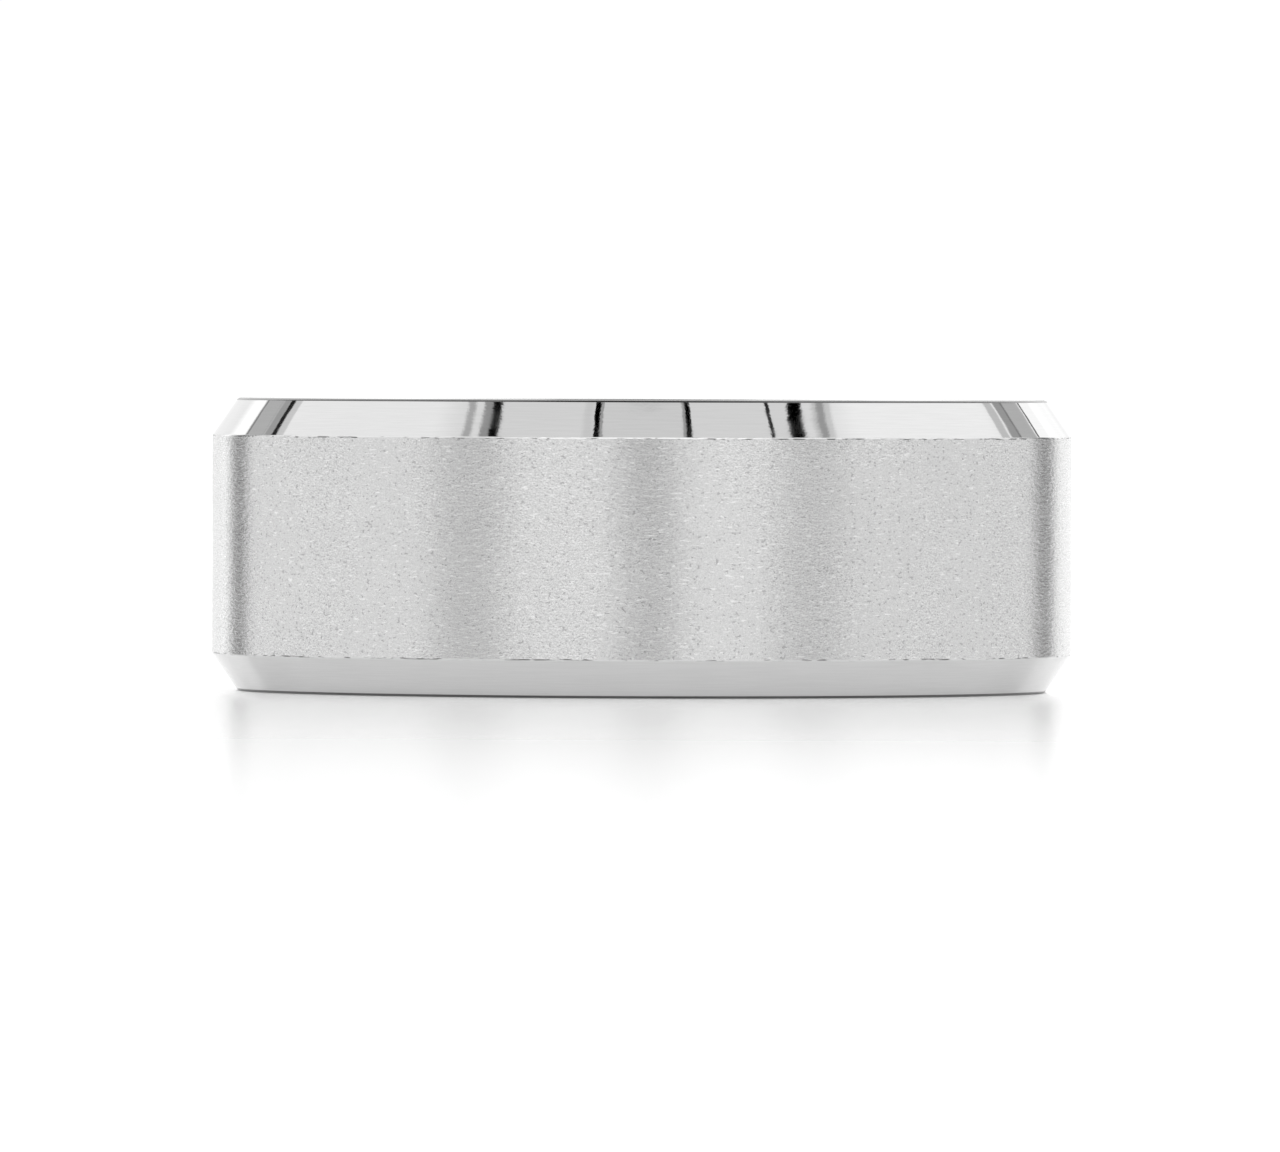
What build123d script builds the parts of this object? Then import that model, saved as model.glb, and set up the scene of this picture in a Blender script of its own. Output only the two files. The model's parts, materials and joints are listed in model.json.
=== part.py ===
from build123d import *

import math
import os

# A man's wedding band with a flat satin belt and a polished bevel along each edge.
# It is turned from one piece of metal, so it is one solid in one node.
# The ring lies flat: its axis is Z, and the origin is the centre of the finger bore. Millimetres.

# Driving dimensions
band_width = 8.0  # along the finger, from side face to side face
finger_bore_diameter = 19.84  # ring size US 10
wall_thickness = 1.83  # from the finger bore to the satin belt
bevel_length = 1.02  # the bevel's extent along the axis
bevel_depth = 0.70  # the bevel's extent towards the axis
bore_land_length = 4.0  # the straight part of the comfort-fit bore
comfort_flare = 0.28  # how much the bore opens, on the radius, from its land to a side face
arris_radius = 0.10  # the rounding where a bevel meets the belt
shoulder_radius = 0.15  # the rounding where a bevel meets a side face
inner_edge_radius = 0.25  # the rounding where the bore meets a side face

# Worked out from the driving dimensions
half_width = band_width / 2
half_land = bore_land_length / 2
bore_radius = finger_bore_diameter / 2
belt_radius = bore_radius + wall_thickness
side_face_radius = belt_radius - bevel_depth
belt_half_length = half_width - bevel_length
mouth_radius = bore_radius + comfort_flare
mid_bevel_radius = (side_face_radius + belt_radius) / 2
mid_side_face_radius = (mouth_radius + side_face_radius) / 2
flare_length = half_width - half_land
flare_arc_radius = (flare_length**2 + comfort_flare**2) / (2 * comfort_flare)
flare_end_angle = math.degrees(math.asin(flare_length / flare_arc_radius))


def outer_outline():
    """Side face, bevel, belt, bevel and side face, from one mouth of the bore round to the other."""
    Polyline(
        (mouth_radius, -half_width),
        (side_face_radius, -half_width),
        (belt_radius, -belt_half_length),
        (belt_radius, belt_half_length),
        (side_face_radius, half_width),
        (mouth_radius, half_width),
    )


def bore_outline():
    """A straight land, and at each of its ends an arc, tangent to it, that opens out to the side face."""
    arc_centre = bore_radius + flare_arc_radius
    CenterArc((arc_centre, half_land), flare_arc_radius, 180 - flare_end_angle, flare_end_angle)
    Line((bore_radius, half_land), (bore_radius, -half_land))
    CenterArc((arc_centre, -half_land), flare_arc_radius, 180, flare_end_angle)


def band_section():
    """The band's cross-section on the +X side, with its corners rounded.

    In the sketch X is the distance from the ring's axis, and Y is the height.
    """
    with BuildSketch(Plane.XZ) as section:
        with BuildLine():
            outer_outline()
            bore_outline()
        make_face()
        arrises = section.vertices().filter_by(lambda corner: corner.X > mid_bevel_radius)
        fillet(arrises, radius=arris_radius)
        shoulders = section.vertices().filter_by(
            lambda corner: mid_side_face_radius < corner.X < mid_bevel_radius
        )
        fillet(shoulders, radius=shoulder_radius)
        bore_mouths = section.vertices().filter_by(
            lambda corner: corner.X < mid_side_face_radius and abs(corner.Y) > belt_half_length
        )
        fillet(bore_mouths, radius=inner_edge_radius)
    return section.sketch


def wedding_band():
    """The section turned once round the axis of the finger."""
    return revolve(band_section(), axis=Axis.Z, revolution_arc=360)


os.makedirs("parts", exist_ok=True)
band = wedding_band()
band.label = "band"
export_step(band, "parts/band.step")
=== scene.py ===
import json
import math
from collections import namedtuple

import bpy
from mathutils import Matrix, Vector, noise


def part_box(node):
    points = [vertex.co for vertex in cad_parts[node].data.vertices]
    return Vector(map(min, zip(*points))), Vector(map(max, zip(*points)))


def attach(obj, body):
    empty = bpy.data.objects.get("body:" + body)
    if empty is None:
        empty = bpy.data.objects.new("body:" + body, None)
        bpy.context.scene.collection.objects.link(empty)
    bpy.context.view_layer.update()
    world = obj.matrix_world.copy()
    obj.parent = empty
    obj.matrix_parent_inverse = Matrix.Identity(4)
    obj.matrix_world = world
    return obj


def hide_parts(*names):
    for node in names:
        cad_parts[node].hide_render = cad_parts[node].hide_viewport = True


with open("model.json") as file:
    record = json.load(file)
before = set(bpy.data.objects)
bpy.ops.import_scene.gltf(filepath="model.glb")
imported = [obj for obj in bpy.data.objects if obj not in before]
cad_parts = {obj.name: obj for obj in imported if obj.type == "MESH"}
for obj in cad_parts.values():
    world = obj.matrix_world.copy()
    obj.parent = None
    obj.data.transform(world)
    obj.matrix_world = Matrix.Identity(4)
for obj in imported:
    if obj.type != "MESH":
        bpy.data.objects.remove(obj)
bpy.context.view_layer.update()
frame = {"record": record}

# A man's wedding band of white metal: a satin belt, and a mirror-polished bevel along each edge.
# It lies flat on a white floor inside a light tent. Metres; +Z is the axis of the finger bore.

MM = 0.001

# The band's sizes. What the frame gives comes from the frame, and the rest repeats the CAD model's section.
NODE = "band"
low_corner, high_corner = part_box(NODE)
HALF_WIDTH = (high_corner.z - low_corner.z) / 2
BELT_RADIUS = (high_corner.x - low_corner.x) / 2
BORE_MOUNT = next(mount for mount in frame["record"]["mounts"] if mount["name"] == "finger_bore")
BORE_RADIUS = BORE_MOUNT["dims"]["r_mm"] * MM
HALF_LAND = BORE_MOUNT["dims"]["length_mm"] * MM / 2
BEVEL_LENGTH = 1.02 * MM
BEVEL_DEPTH = 0.70 * MM
COMFORT_FLARE = 0.28 * MM
ARRIS_RADIUS = 0.10 * MM
SHOULDER_RADIUS = 0.15 * MM
INNER_EDGE_RADIUS = 0.25 * MM

BELT_HALF_LENGTH = HALF_WIDTH - BEVEL_LENGTH
SIDE_FACE_RADIUS = BELT_RADIUS - BEVEL_DEPTH
BEVEL_TILT = math.atan2(BEVEL_DEPTH, BEVEL_LENGTH)  # how far the bevel's normal leans from the belt's
QUARTER_TURN = math.pi / 2
HALF_TURN = math.pi

# The band's mesh: how many faces each stretch of the section has, and how many the turn has
SEGMENTS = 720
BELT_STEPS = 6
ARRIS_STEPS = 6
BEVEL_STEPS = 8
SHOULDER_STEPS = 8
FLAT_STEPS = 3
MOUTH_STEPS = 12
FLARE_STEPS = 12

# What hand finishing leaves
ROLL_OFF = math.radians(0.2)  # how far the polishing wheel rolled over the bevel's outer end
ARRIS_STRAY = 0.012 * MM  # how far the arris strays from a true circle
SLOW_STRAY, QUICK_STRAY = 9, 38  # how often the stray changes, as the radius of its circle through the noise

SATIN, ARRIS, POLISHED, SHOULDER, BORE = range(5)  # the finishes, as material slots of the band's mesh


# ---------------------------------------------------------------- the section of the band

def arc(centre, radius, start, end, steps):
    """Section points (distance from the axis, height, angle of the outward normal) round an arc."""
    points = []
    for step in range(steps + 1):
        angle = start + (end - start) * step / steps
        points.append((centre[0] + radius * math.cos(angle), centre[1] + radius * math.sin(angle), angle))
    return points


def straight(start, end, steps):
    """Section points between two points of a straight stretch, without the two ends.

    The normal turns from the one end's to the other's, and most of that happens near the second end.
    """
    points = []
    for step in range(1, steps):
        share = step / steps
        distance, height = (a + (b - a) * share for a, b in zip(start[:2], end[:2]))
        normal = start[2] + (end[2] - start[2]) * share**4
        points.append((distance, height, normal))
    return points


def upper_half_section():
    """The section from the middle of the belt over the upper side face to the middle of the bore."""
    arris_setback = ARRIS_RADIUS * math.tan(BEVEL_TILT / 2)
    arris = arc(
        (BELT_RADIUS - ARRIS_RADIUS, BELT_HALF_LENGTH - arris_setback),
        ARRIS_RADIUS, 0, BEVEL_TILT, ARRIS_STEPS,
    )
    shoulder_setback = SHOULDER_RADIUS * math.tan((QUARTER_TURN - BEVEL_TILT) / 2)
    shoulder = arc(
        (SIDE_FACE_RADIUS - shoulder_setback, HALF_WIDTH - SHOULDER_RADIUS),
        SHOULDER_RADIUS, BEVEL_TILT + ROLL_OFF, QUARTER_TURN, SHOULDER_STEPS,
    )
    flare_length = HALF_WIDTH - HALF_LAND
    flare_radius = (flare_length**2 + COMFORT_FLARE**2) / (2 * COMFORT_FLARE)
    flare_centre = (BORE_RADIUS + flare_radius, HALF_LAND)
    flare_end = math.asin((flare_length - INNER_EDGE_RADIUS) / (flare_radius - INNER_EDGE_RADIUS))
    mouth_centre = (
        flare_centre[0] - (flare_radius - INNER_EDGE_RADIUS) * math.cos(flare_end),
        HALF_WIDTH - INNER_EDGE_RADIUS,
    )
    mouth = arc(mouth_centre, INNER_EDGE_RADIUS, QUARTER_TURN, HALF_TURN - flare_end, MOUTH_STEPS)
    flare = arc(flare_centre, flare_radius, HALF_TURN - flare_end, HALF_TURN, FLARE_STEPS)

    belt_middle = (BELT_RADIUS, 0, 0)
    bore_middle = (BORE_RADIUS, 0, HALF_TURN)
    return [
        belt_middle, *straight(belt_middle, arris[0], BELT_STEPS),
        *arris, *straight(arris[-1], shoulder[0], BEVEL_STEPS),
        *shoulder, *straight(shoulder[-1], mouth[0], FLAT_STEPS),
        *mouth, *flare[1:], *straight(flare[-1], bore_middle, FLAT_STEPS), bore_middle,
    ]


def band_section():
    """The closed section: the upper half, and its mirror image without the two shared points."""
    upper = upper_half_section()
    lower = [(distance, -height, -normal) for distance, height, normal in reversed(upper[1:-1])]
    return upper + lower


def finish_at(normal):
    """The finish where the surface leans that far from the belt, on either side of it."""
    lean = abs(normal)
    if lean == 0:
        return SATIN
    if lean < BEVEL_TILT:
        return ARRIS
    if lean <= BEVEL_TILT + ROLL_OFF or lean == QUARTER_TURN:
        return POLISHED
    return SHOULDER if lean < QUARTER_TURN else BORE


def arris_stray(across, along, height):
    """How far the arris at that side of the belt is from its true height, at that place round the ring."""
    side = math.copysign(1, height)  # each arris has its own planes of the noise
    slow = noise.noise((SLOW_STRAY * across, SLOW_STRAY * along, 3 * side))
    quick = noise.noise((QUICK_STRAY * across, QUICK_STRAY * along, 7 * side))
    return ARRIS_STRAY * (slow + 0.6 * quick)


def band_mesh():
    """The section turned round Z, with exact normals, so that the polished faces reflect as true cones."""
    section = band_section()
    count = len(section)
    vertices, normals = [], []
    for segment in range(SEGMENTS):
        turn = math.tau * segment / SEGMENTS
        across, along = math.cos(turn), math.sin(turn)
        for distance, height, normal in section:
            starts_arris = normal == 0 and abs(height) > BELT_HALF_LENGTH - ARRIS_RADIUS
            if starts_arris or finish_at(normal) == ARRIS:
                height += arris_stray(across, along, height)
            vertices.append((distance * across, distance * along, height))
            outward = math.cos(normal)
            normals.append((outward * across, outward * along, math.sin(normal)))
    faces, finishes = [], []
    for segment in range(SEGMENTS):
        here, there = segment * count, (segment + 1) % SEGMENTS * count
        for point in range(count):
            following = (point + 1) % count
            faces.append((here + point, there + point, there + following, here + following))
            finishes.append(finish_at((abs(section[point][2]) + abs(section[following][2])) / 2))
    mesh = bpy.data.meshes.new("wedding_band")
    mesh.from_pydata(vertices, [], faces)
    mesh.polygons.foreach_set("material_index", finishes)
    mesh.polygons.foreach_set("use_smooth", [True] * len(faces))
    mesh.normals_split_custom_set_from_vertices(normals)
    mesh.update()
    return mesh


# ---------------------------------------------------------------- short calls for node trees

class Tree:
    """A node tree with short calls. Each call adds a node and returns its output."""

    def __init__(self, tree):
        self.tree = tree
        tree.nodes.clear()

    def node(self, kind, **settings):
        node = self.tree.nodes.new(kind)
        for name, value in settings.items():
            setattr(node, name, value)
        return node

    def feed(self, socket, value):
        """Links an output to a socket, or sets the socket to a number or colour."""
        if isinstance(value, bpy.types.NodeSocket):
            self.tree.links.new(value, socket)
        else:
            socket.default_value = value

    def math(self, operation, *values):
        node = self.node("ShaderNodeMath", operation=operation)
        for socket, value in zip(node.inputs, values):
            self.feed(socket, value)
        return node.outputs[0]

    def smooth(self, value, start, end, low=0.0, high=1.0):
        """low up to start, high from end on, and a smooth step between them."""
        node = self.node("ShaderNodeMapRange", interpolation_type="SMOOTHSTEP")
        for name, given in (
            ("Value", value), ("From Min", start), ("From Max", end), ("To Min", low), ("To Max", high)
        ):
            self.feed(node.inputs[name], given)
        return node.outputs[0]

    def between(self, value, low, high, soft):
        """1 from low to high, and 0 outside, with edges soft wide."""
        rise = self.smooth(value, low - soft / 2, low + soft / 2)
        fall = self.smooth(value, high - soft / 2, high + soft / 2, 1.0, 0.0)
        return self.math("MULTIPLY", rise, fall)

    def grain(self, size_round, size_along, detail=2.0, distortion=0.0, lift=0.0):
        """Noise from 0 to 1 in object space, with features of that size round the ring and along its axis.

        lift moves the whole pattern down by that much.
        """
        place = self.node("ShaderNodeTexCoord").outputs["Object"]
        scale = self.node("ShaderNodeVectorMath", operation="MULTIPLY_ADD")
        self.feed(scale.inputs[0], place)
        scale.inputs[1].default_value = (1 / size_round, 1 / size_round, 1 / size_along)
        scale.inputs[2].default_value = (0, 0, lift / size_along)
        texture = self.node("ShaderNodeTexNoise")
        self.feed(texture.inputs["Vector"], scale.outputs[0])
        texture.inputs["Scale"].default_value = 1.0
        texture.inputs["Detail"].default_value = detail
        texture.inputs["Distortion"].default_value = distortion
        return texture.outputs["Fac"]

    def bump(self, height, depth):
        """A normal from a height of 0 to 1 that stands for that depth in metres."""
        node = self.node("ShaderNodeBump")
        node.inputs["Strength"].default_value = 1.0
        node.inputs["Distance"].default_value = depth
        self.feed(node.inputs["Height"], height)
        return node.outputs["Normal"]

    def grey_between(self, share, dark, light):
        """A grey that goes from dark to light as share goes from 0 to 1."""
        node = self.node("ShaderNodeMix", data_type="RGBA")
        self.feed(node.inputs[0], share)
        self.feed(node.inputs[6], (dark, dark, dark, 1))
        self.feed(node.inputs[7], (light, light, light, 1))
        return node.outputs[2]


def metal(name):
    """A material with one metallic shader. Returns (material, tree, shader)."""
    material = bpy.data.materials.new(name)
    material.use_nodes = True
    tree = Tree(material.node_tree)
    shader = tree.node("ShaderNodeBsdfPrincipled")
    shader.inputs["Metallic"].default_value = 1.0
    output = tree.node("ShaderNodeOutputMaterial")
    tree.feed(output.inputs["Surface"], shader.outputs[0])
    return material, tree, shader


def coarse_patches(tree):
    """Where the satin finish was worked harder: 1 there and 0 elsewhere."""
    return tree.smooth(tree.grain(2.6 * MM, 5.0 * MM, detail=0.0), 0.44, 0.56, 1.0, 0.0)


def satin_metal():
    """The belt: a matt grain of stipple and of strokes round the ring, with a few pits and bright nicks.

    Each stroke is a groove, with painted light on one lip and painted shade on the other; each pit is
    painted dark as shade, and each nick painted bright as a glint. The grain is stronger in some patches.
    """
    material, tree, shader = metal("satin_metal")
    coarse = coarse_patches(tree)
    stipple = tree.math("SUBTRACT", tree.grain(0.036 * MM, 0.048 * MM, detail=1.0), 0.5)
    stipple = tree.math("MULTIPLY", stipple, tree.math("MULTIPLY_ADD", coarse, 0.55, 0.80))
    stroke = {"size_round": 0.075 * MM, "size_along": 0.045 * MM, "detail": 1.0, "distortion": 1.2}
    strokes = tree.grain(**stroke)
    strokes_below = tree.grain(**stroke, lift=0.03 * MM)
    # painted light and shade on the two lips of each stroke: the strokes less the same strokes a little
    # lower
    painted_lip_light_and_shade = tree.math("SUBTRACT", strokes, strokes_below)
    painted_lip_light_and_shade = tree.math("MULTIPLY", painted_lip_light_and_shade, tree.math("MULTIPLY_ADD", coarse, 0.90, 0.15))
    lumps = tree.grain(0.26 * MM, 0.07 * MM, detail=1.0, distortion=0.5)
    clouds = tree.grain(2.2 * MM, 1.2 * MM, detail=3.0)
    # pits: painted dark in the colour as shade in each hollow, and sunk a little by the bump
    pits_with_painted_shade = tree.smooth(tree.grain(0.09 * MM, 0.06 * MM, detail=0.0), 0.70, 0.76)
    # bright nicks: painted lighter in the colour as glints
    nicks_with_painted_light = tree.smooth(tree.grain(0.20 * MM, 0.04 * MM, detail=0.0, distortion=0.5), 0.70, 0.76)
    shade = tree.math("MULTIPLY_ADD", clouds, 0.15, 0.425)
    shade = tree.math("ADD", shade, tree.math("ADD", stipple, painted_lip_light_and_shade))
    shade = tree.math("MULTIPLY_ADD", pits_with_painted_shade, -0.9, shade)
    # the pits add painted shade and the nicks add painted glints
    shade = tree.math("MULTIPLY_ADD", nicks_with_painted_light, 0.5, shade)
    tree.feed(shader.inputs["Base Color"], tree.grey_between(shade, 0.49, 0.81))
    tree.feed(shader.inputs["Roughness"], tree.smooth(clouds, 0.3, 0.7, 0.22, 0.25))
    shader.inputs["Anisotropic"].default_value = 0.7
    shader.inputs["Anisotropic Rotation"].default_value = 0.25
    tangent = tree.node("ShaderNodeTangent", direction_type="RADIAL", axis="Z")
    tree.feed(shader.inputs["Tangent"], tangent.outputs[0])
    relief = tree.math("ADD", tree.math("MULTIPLY", lumps, 0.58), tree.math("MULTIPLY", strokes, 0.12))
    relief = tree.math("MULTIPLY_ADD", pits_with_painted_shade, -0.4, relief)
    tree.feed(shader.inputs["Normal"], tree.bump(relief, 0.015 * MM))
    return material


def arris_metal():
    """Where the satin ends and the polish starts: a painted highlight along the arris, and dashes of painted
    shade next to the satin.

    There are more dashes of painted shade where the satin is coarse.
    """
    material, tree, shader = metal("arris_metal")
    facing = tree.node("ShaderNodeSeparateXYZ")
    tree.feed(facing.inputs[0], tree.node("ShaderNodeNewGeometry").outputs["Normal"])
    # a painted highlight along the arris, where its normal leans towards the bevel
    painted_highlight = tree.smooth(tree.math("ABSOLUTE", facing.outputs["Z"]), 0.24, 0.36)
    nicks_with_painted_light = tree.grain(0.30 * MM, 0.05 * MM, detail=2.0)
    nicks_with_painted_light = tree.math("MULTIPLY_ADD", coarse_patches(tree), -0.08, nicks_with_painted_light)
    # dark where neither the nicks nor the painted highlight lift it: painted shade along the arris, in
    # dashes
    whole = tree.math("MAXIMUM", tree.smooth(nicks_with_painted_light, 0.35, 0.45), tree.math("MULTIPLY", painted_highlight, 0.9))
    tree.feed(shader.inputs["Base Color"], tree.grey_between(whole, 0.16, 0.70))
    tree.feed(shader.inputs["Roughness"], tree.smooth(nicks_with_painted_light, 0.3, 0.7, 0.25, 0.10))
    tree.feed(shader.inputs["Normal"], tree.bump(nicks_with_painted_light, 0.002 * MM))
    return material


def polished_metal():
    """The bevels and side faces: a mirror with the faint waves and streaks that hand polishing leaves."""
    material, tree, shader = metal("polished_metal")
    streaks = tree.grain(1.2 * MM, 0.03 * MM, detail=2.0)
    tree.feed(shader.inputs["Base Color"], tree.grey_between(tree.smooth(streaks, 0.3, 0.7), 0.66, 0.685))
    haze = tree.grain(0.8 * MM, 0.5 * MM, detail=3.0)
    tree.feed(shader.inputs["Roughness"], tree.smooth(haze, 0.35, 0.7, 0.02, 0.04))
    waves = tree.grain(0.9 * MM, 0.6 * MM, detail=1.0)
    speckle = tree.grain(0.07 * MM, 0.06 * MM, detail=1.0)
    surface = tree.math("ADD", tree.math("MULTIPLY", waves, 0.9), tree.math("MULTIPLY", speckle, 0.1))
    tree.feed(shader.inputs["Normal"], tree.bump(surface, 0.0013 * MM))
    return material


def shoulder_painted_shade():
    """The rounded edges at the side faces: rougher than the polish, with fine rings round them, and painted
    nearly black as shade along each edge.
    """
    material, tree, shader = metal("shoulder_painted_shade")
    rings = tree.grain(1.6 * MM, 0.02 * MM, detail=2.0)
    # nearly black: painted shade for the dark lines along the band's edges, on top and at the floor
    tree.feed(shader.inputs["Base Color"], tree.grey_between(rings, 0.10, 0.22))
    tree.feed(shader.inputs["Roughness"], tree.smooth(rings, 0.3, 0.7, 0.16, 0.24))
    return material


def bore_metal():
    """The finger bore: polished on the lathe, with hair-fine lines round it."""
    material, tree, shader = metal("bore_metal")
    lines = tree.grain(4.0 * MM, 0.03 * MM, detail=2.0)
    tree.feed(shader.inputs["Base Color"], tree.grey_between(lines, 0.62, 0.70))
    tree.feed(shader.inputs["Roughness"], tree.smooth(lines, 0.3, 0.7, 0.07, 0.12))
    tree.feed(shader.inputs["Normal"], tree.bump(lines, 0.0006 * MM))
    return material


def build_band():
    """The band's mesh with its five finishes, in place of the CAD model's node."""
    band = bpy.data.objects.new("wedding_band", band_mesh())
    bpy.context.scene.collection.objects.link(band)
    for material in (satin_metal(), arris_metal(), polished_metal(), shoulder_painted_shade(), bore_metal()):
        band.data.materials.append(material)
    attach(band, "root")
    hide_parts(NODE)


# ---------------------------------------------------------------- the studio

# The tent's seams, frames, rods and shades, where less light comes from. Angles are in degrees: the azimuth
# counts from the camera's side, where it is 0, and the elevation from the floor up. soft is how wide the
# seam's edges are, and missing is the share of light that is gone.
Seam = namedtuple("Seam", "azimuths elevations soft missing")
ALL_ROUND = (-1, 181)  # azimuths, past both ends
CORNER = (15, 58)  # elevations, from above the walls' foot to below the ceiling's frame
CEILING = (61.3, 80)  # elevations above that frame
WALL_SEAMS = (  # alike on the left and on the right
    Seam((139.8, 147.3), CORNER, 0.8, 0.47),  # the grey cloth in each back corner
    Seam((150, 181), (-30, 8), 4, 0.04),  # the foot of the back wall
)
SIDE_SEAMS = (  # on one side only: the azimuth is negative on the left
    Seam((-6, 9), (-30, 20), 8, 0.48),  # the camera's opening
    Seam((-57, -38), (-30, 50), 12, 0.38),  # the left front corner
    Seam((37, 54), (-30, 50), 12, 0.34),  # the right front corner
    Seam((50, 130), (-30, 15), 8, 0.08),  # the foot of the right wall
    Seam((-143.8, -133.6), (-30, 15), 3, 0.92),  # the foot of the left back corner
    Seam((132.0, 144.6), (-30, 15), 4, 0.84),  # the foot of the right back corner
    Seam((-147.8, -146.7), CORNER, 0.4, 0.55),  # the rod beside the left back corner
    Seam((-139.8, -136.4), CORNER, 1.6, 0.60),  # the dark side of the left back corner
    Seam((-136.7, -134.9), CORNER, 0.5, 0.98),  # the black edge of the left back corner
    Seam((-134.9, -132.4), CORNER, 0.6, 0.30),  # a fold beside the left back corner
    Seam((132.9, 135.9), CORNER, 0.8, 0.38),  # a fold beside the right back corner
    Seam((136.6, 140.4), CORNER, 0.8, 0.62),  # the dark side of the right back corner
    Seam((147.8, 148.6), CORNER, 0.4, 0.85),  # the rod beside the right back corner
    Seam((148.6, 154), (12, 25), 2, 0.12),  # a shade on the back wall beside that rod
    Seam((146, 181), (-30, 8), 4, 0.13),  # the right half of the back wall's foot
    Seam((-181, -155), (-5, 25), 6, 0.24),  # the dimmer left half of the back wall
    Seam((158, 181), (5, 25), 10, 0.12),  # the right half of the back wall, low down
    Seam((-100, -50), (59.0, 60.0), 0.4, 0.60),  # the grey left side of the ceiling's frame
    Seam((50, 85), (59.7, 61.2), 0.3, 0.99),  # the wider right side of the ceiling's frame
    Seam((50, 100), (56.4, 58.6), 0.6, 0.25),  # the wider right side of the rod below it
    Seam((57.8, 59.4), CEILING, 0.3, 0.97),  # a cord across the ceiling
    Seam((-30, -25.5), CEILING, 3, 0.12),  # a fold of the ceiling
)
RING_SEAMS = (
    Seam(ALL_ROUND, (59.9, 60.85), 0.3, 0.995),  # the ceiling's black frame
    Seam(ALL_ROUND, (57.2, 58.1), 0.5, 0.45),  # a grey rod below it
)
CEILING_SEAMS = (  # alike on both sides of the camera, and at the back
    Seam((21.6, 24.3), CEILING, 0.3, 1.0),  # the black seams across the ceiling
    Seam((20.2, 21.6), CEILING, 0.4, 0.50),  # a cord beside each
)
TENT_TILT = (0.0, -0.4, 0.0)  # about X, Y and Z: the tent isn't quite level
CEILING_TURN = 0.68  # about Z: the ceiling isn't quite square to the camera


def light_tent():
    """A world that shines like a tent of white cloth with dark seams. To the camera it is plain white."""
    world = bpy.data.worlds.new("light_tent")
    bpy.context.scene.world = world
    world.use_nodes = True
    tree = Tree(world.node_tree)
    askew = tree.node("ShaderNodeMapping", vector_type="NORMAL")
    tree.feed(askew.inputs["Vector"], tree.node("ShaderNodeTexCoord").outputs["Generated"])
    askew.inputs["Rotation"].default_value = [math.radians(angle) for angle in TENT_TILT]
    direction = tree.node("ShaderNodeSeparateXYZ")
    tree.feed(direction.inputs[0], askew.outputs[0])
    x, y, z = direction.outputs
    towards_camera = tree.math("MULTIPLY", y, -1.0)
    azimuth = tree.math("DEGREES", tree.math("ARCTAN2", x, towards_camera))
    from_front = tree.math("ABSOLUTE", azimuth)
    turned = tree.math("ADD", azimuth, CEILING_TURN)
    from_middle = tree.math("PINGPONG", turned, 90.0)  # 0 in front and at the back, 90 at the sides
    elevation = tree.math("DEGREES", tree.math("ARCSINE", z))

    level = tree.smooth(elevation, 10, 32, 0.99, 1.16)  # the walls are brighter higher up
    front_sides = tree.between(from_front, -90, 58, 10)
    front_lamps = tree.math("MULTIPLY", front_sides, tree.between(elevation, 20, 56, 8))
    right_side = tree.between(azimuth, 76, 132, 4)
    right_lamp = tree.math("MULTIPLY", right_side, tree.smooth(elevation, 25, 35))
    ceiling_strip = tree.between(from_middle, -90, 21, 1.0)
    ceiling_middle = tree.math("MULTIPLY", ceiling_strip, tree.smooth(elevation, 60, 62))
    for share, amount in (
        (front_lamps, 0.32),
        (tree.smooth(from_front, 147.4, 149), 0.25),  # the back wall between its corners
        (right_lamp, 0.07),
        (tree.smooth(from_front, 145, 150), 0.15),  # the spill of the back wall's light
        (tree.smooth(elevation, 53, 57.5), -0.16),  # the top of the walls
        (tree.smooth(elevation, 60.4, 61.2), -0.07),  # the ceiling
        (ceiling_middle, -0.07),
    ):
        level = tree.math("MULTIPLY_ADD", share, amount, level)
    opening_rim = tree.smooth(elevation, 68.75, 69.6, 1.0, 0.80)
    opening = tree.smooth(elevation, 70.5, 73, 1.0, 0.10)  # dark, at the top of the tent
    level = tree.math("MULTIPLY", tree.math("MULTIPLY", level, opening_rim), opening)

    for seams, turn in (
        (WALL_SEAMS, from_front),
        (SIDE_SEAMS, azimuth),
        (RING_SEAMS, from_front),
        (CEILING_SEAMS, from_middle),
    ):
        for seam in seams:
            across = tree.between(turn, *seam.azimuths, seam.soft)
            up = tree.between(elevation, *seam.elevations, seam.soft)
            gone = tree.math("MULTIPLY", tree.math("MULTIPLY", across, up), seam.missing)
            level = tree.math("MULTIPLY", level, tree.math("SUBTRACT", 1.0, gone))

    seen_directly = tree.node("ShaderNodeLightPath").outputs["Is Camera Ray"]
    plain_white = tree.math("MULTIPLY", seen_directly, 1.04)
    background = tree.node("ShaderNodeBackground")
    background.inputs["Color"].default_value = (1, 1, 1, 1)
    tree.feed(background.inputs["Strength"], tree.math("MAXIMUM", level, plain_white))
    output = tree.node("ShaderNodeOutputWorld")
    tree.feed(output.inputs["Surface"], background.outputs[0])


FLOOR_RADIUS = 600 * MM
FLOOR_POINTS = 96


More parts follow.
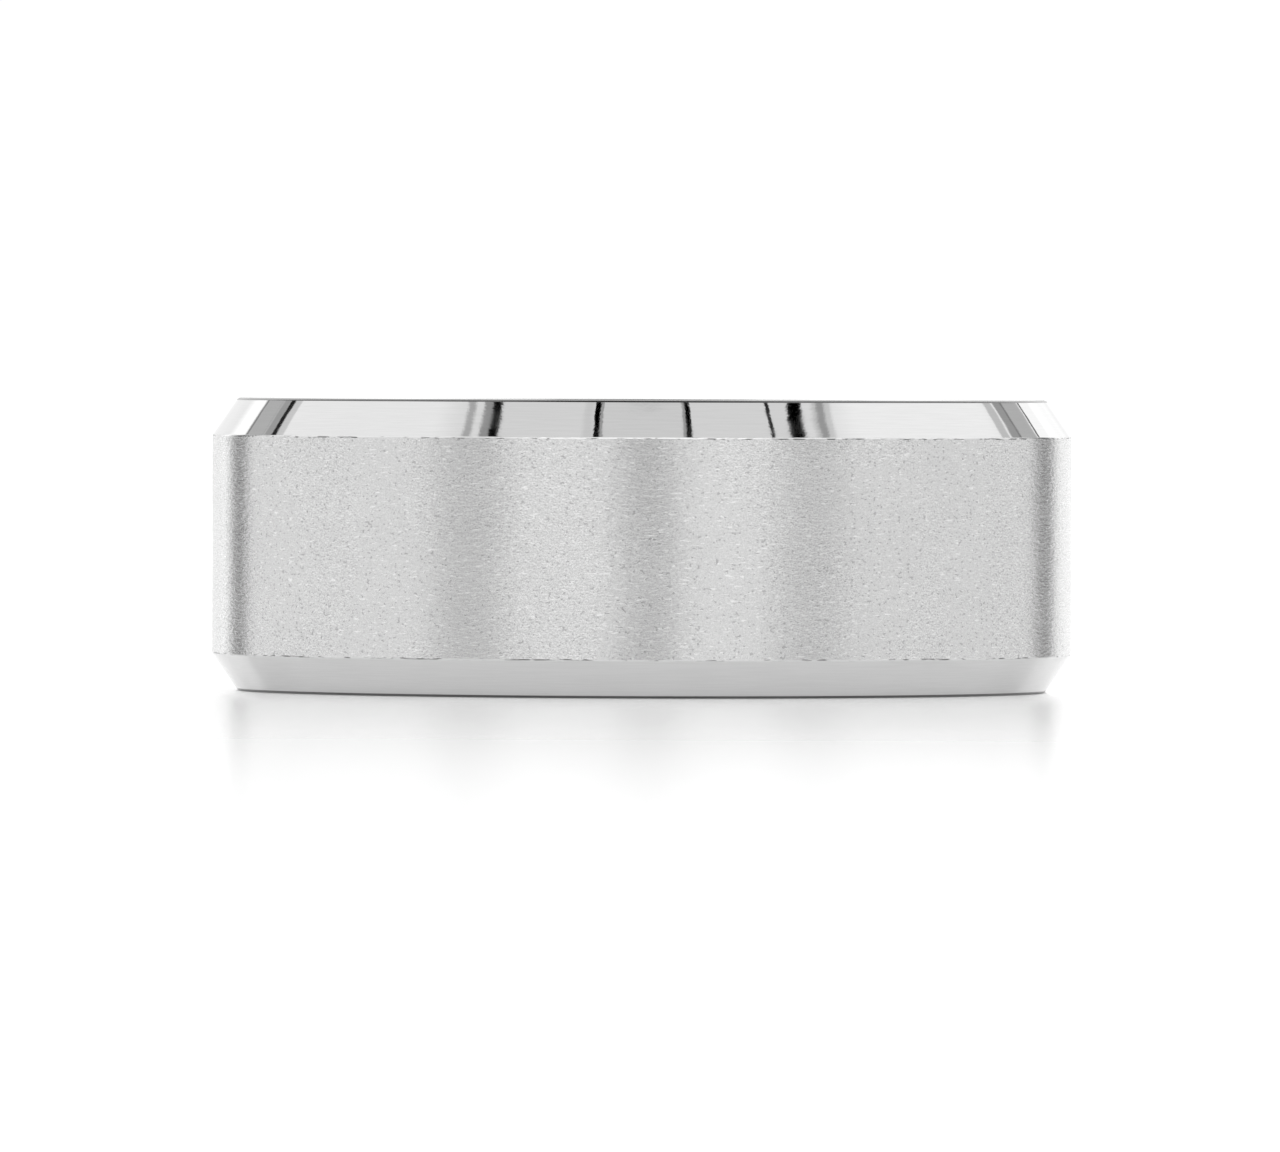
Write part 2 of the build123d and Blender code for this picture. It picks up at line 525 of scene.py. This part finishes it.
def floor():
    """A white satin table top under the band. It glows a little, as if lit from below."""
    mesh = bpy.data.meshes.new("floor")
    turns = [math.tau * point / FLOOR_POINTS for point in range(FLOOR_POINTS)]
    rim = [(FLOOR_RADIUS * math.cos(turn), FLOOR_RADIUS * math.sin(turn), low_corner.z) for turn in turns]
    mesh.from_pydata(rim, [], [tuple(range(FLOOR_POINTS))])
    table = bpy.data.objects.new("floor", mesh)
    bpy.context.scene.collection.objects.link(table)
    material = bpy.data.materials.new("white_table")
    material.use_nodes = True
    tree = Tree(material.node_tree)
    shader = tree.node("ShaderNodeBsdfPrincipled")
    shader.inputs["Base Color"].default_value = (0.86, 0.86, 0.86, 1)
    shader.inputs["Roughness"].default_value = 0.22
    shader.inputs["IOR"].default_value = 1.22
    shader.inputs["Coat IOR"].default_value = 1.22
    shader.inputs["Coat Weight"].default_value = 1.0
    shader.inputs["Coat Roughness"].default_value = 0.21
    shader.inputs["Emission Color"].default_value = (1, 1, 1, 1)
    shader.inputs["Emission Strength"].default_value = 0.18
    output = tree.node("ShaderNodeOutputMaterial")
    tree.feed(output.inputs["Surface"], shader.outputs[0])
    mesh.materials.append(material)


CAMERA_PLACE = (-0.07 * MM, -528 * MM, 5.6 * MM)
CAMERA_TILT_DOWN = math.radians(0.70)
CAMERA_ROLL = math.radians(-0.2)
LENS = 542.5  # in millimetres, as Blender takes it
SENSOR_WIDTH = 36.0  # in millimetres too


def camera():
    """A long lens a little above the upper side face: the bevel shows as a strip, and the bore doesn't."""
    data = bpy.data.cameras.new("camera")
    data.lens = LENS
    data.sensor_width = SENSOR_WIDTH
    data.clip_start = 0.01
    data.clip_end = 10.0
    shot = bpy.data.objects.new("camera", data)
    shot.location = CAMERA_PLACE
    shot.rotation_euler = (QUARTER_TURN - CAMERA_TILT_DOWN, CAMERA_ROLL, 0)
    bpy.context.scene.collection.objects.link(shot)
    bpy.context.scene.camera = shot


build_band()
floor()
light_tent()
camera()
bpy.context.scene.view_settings.view_transform = "Standard"
